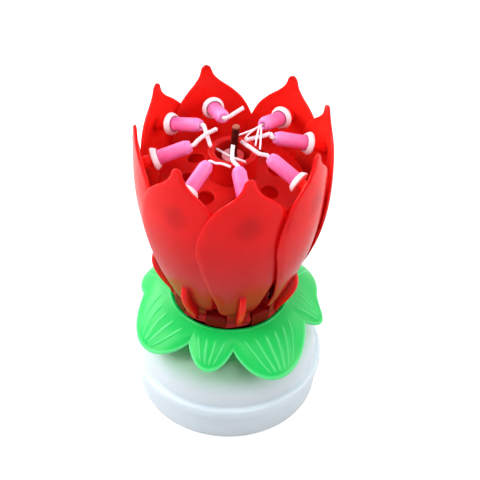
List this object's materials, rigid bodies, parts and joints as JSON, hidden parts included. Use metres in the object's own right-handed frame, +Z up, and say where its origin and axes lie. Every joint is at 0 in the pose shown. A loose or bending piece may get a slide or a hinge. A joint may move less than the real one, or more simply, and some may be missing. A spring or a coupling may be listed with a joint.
{
  "type": "musical birthday candle",
  "caption": "Lotus-shaped musical birthday candle: hinged petals with small candles close round a sparkler and open when its burnt thread frees a sprung plunger.",
  "frame": {"origin": "middle of the base's flat underside, on the surface that the candle stands on", "axes": "+Z up along the candle's axis; -Y is the front that faces the viewer in the picture, and +X is to that viewer's right"},
  "size_m": [0.0568, 0.0568, 0.0974],
  "materials": {
    "milky_plastic": "milky white translucent moulded plastic, satin",
    "red_plastic": "clear red moulded plastic, glossy",
    "green_plastic": "light green translucent moulded plastic, glossy",
    "white_plastic": "white moulded plastic",
    "black_plastic": "black moulded plastic",
    "pink_wax": "pink paraffin wax",
    "cotton": "twisted cotton",
    "sparkler_powder": "dark brown pressed sparkler powder, matte",
    "steel": "plain steel",
    "cell_steel": "plated steel can",
    "brass": "sheet brass",
    "circuit_board": "green phenolic board",
    "red_vinyl": "red insulated wire",
    "black_vinyl": "black insulated wire",
    "white_vinyl": "white insulated wire"
  },
  "bodies": {
    "base": {"base_shell": "milky_plastic", "bottom_plate": "milky_plastic", "base_screw_1": "steel", "base_screw_2": "steel", "hub_screw_1": "steel", "hub_screw_2": "steel", "battery_holder": "black_plastic", "battery_contact_top": "brass", "battery_contact_bottom": "brass", "button_cell_1": "cell_steel", "button_cell_2": "cell_steel", "piezo_sounder": "brass", "circuit_board": "circuit_board", "sound_chip": "black_plastic", "wire_red": "red_vinyl", "wire_black": "black_vinyl", "wire_switch": "white_vinyl", "piezo_lead": "white_vinyl", "calyx": "green_plastic", "hub": "red_plastic", "deck": "red_plastic", "switch_contact_left": "brass", "switch_contact_right": "brass", "plunger_spring": "steel"},
    "plunger_unit": {"plunger": "white_plastic", "contact_washer": "brass", "sparkler_stick": "sparkler_powder", "release_thread": "cotton"},
    "petal_unit_1": {"petal_1": "red_plastic", "candle_cup_1": "white_plastic", "candle_1": "pink_wax", "wick_1": "cotton"},
    "petal_unit_2": {"petal_2": "red_plastic", "candle_cup_2": "white_plastic", "candle_2": "pink_wax", "wick_2": "cotton"},
    "petal_unit_3": {"petal_3": "red_plastic", "candle_cup_3": "white_plastic", "candle_3": "pink_wax", "wick_3": "cotton"},
    "petal_unit_4": {"petal_4": "red_plastic", "candle_cup_4": "white_plastic", "candle_4": "pink_wax", "wick_4": "cotton"},
    "petal_unit_5": {"petal_5": "red_plastic", "candle_cup_5": "white_plastic", "candle_5": "pink_wax", "wick_5": "cotton"},
    "petal_unit_6": {"petal_6": "red_plastic", "candle_cup_6": "white_plastic", "candle_6": "pink_wax", "wick_6": "cotton"},
    "petal_unit_7": {"petal_7": "red_plastic", "candle_cup_7": "white_plastic", "candle_7": "pink_wax", "wick_7": "cotton"},
    "petal_unit_8": {"petal_8": "red_plastic", "candle_cup_8": "white_plastic", "candle_8": "pink_wax", "wick_8": "cotton"}
  },
  "joints": [
    {"name": "plunger_rise", "type": "slide", "parent": "base", "child": "plunger_unit", "axis": [0, 0, 1], "range_m": [0, 0.00515], "deforming": ["plunger_spring"]},
    {"name": "petal_1_hinge", "type": "hinge", "parent": "base", "child": "petal_unit_1", "pos_m": [0.00284, -0.01503, 0.038], "axis": [0.9826, 0.1857, 0], "range_deg": [0, 70]},
    {"name": "petal_2_hinge", "type": "hinge", "parent": "base", "child": "petal_unit_2", "pos_m": [0.01264, -0.00862, 0.038], "axis": [0.5635, 0.8261, 0], "range_deg": [0, 70]},
    {"name": "petal_3_hinge", "type": "hinge", "parent": "base", "child": "petal_unit_3", "pos_m": [0.01503, 0.00284, 0.038], "axis": [-0.1857, 0.9826, 0], "range_deg": [0, 70]},
    {"name": "petal_4_hinge", "type": "hinge", "parent": "base", "child": "petal_unit_4", "pos_m": [0.00862, 0.01264, 0.038], "axis": [-0.8261, 0.5635, 0], "range_deg": [0, 70]},
    {"name": "petal_5_hinge", "type": "hinge", "parent": "base", "child": "petal_unit_5", "pos_m": [-0.00284, 0.01503, 0.038], "axis": [-0.9826, -0.1857, 0], "range_deg": [0, 70]},
    {"name": "petal_6_hinge", "type": "hinge", "parent": "base", "child": "petal_unit_6", "pos_m": [-0.01264, 0.00862, 0.038], "axis": [-0.5635, -0.8261, 0], "range_deg": [0, 70]},
    {"name": "petal_7_hinge", "type": "hinge", "parent": "base", "child": "petal_unit_7", "pos_m": [-0.01503, -0.00284, 0.038], "axis": [0.1857, -0.9826, 0], "range_deg": [0, 70]},
    {"name": "petal_8_hinge", "type": "hinge", "parent": "base", "child": "petal_unit_8", "pos_m": [-0.00862, -0.01264, 0.038], "axis": [0.8261, -0.5635, 0], "range_deg": [0, 70]}
  ],
  "couplings": [
    {"joint": "plunger_rise", "follows": "petal_1_hinge", "m_per_rad": 0.0042092},
    {"joint": "petal_2_hinge", "follows": "petal_1_hinge", "ratio": 1},
    {"joint": "petal_3_hinge", "follows": "petal_1_hinge", "ratio": 1},
    {"joint": "petal_4_hinge", "follows": "petal_1_hinge", "ratio": 1},
    {"joint": "petal_5_hinge", "follows": "petal_1_hinge", "ratio": 1},
    {"joint": "petal_6_hinge", "follows": "petal_1_hinge", "ratio": 1},
    {"joint": "petal_7_hinge", "follows": "petal_1_hinge", "ratio": 1},
    {"joint": "petal_8_hinge", "follows": "petal_1_hinge", "ratio": 1}
  ]
}
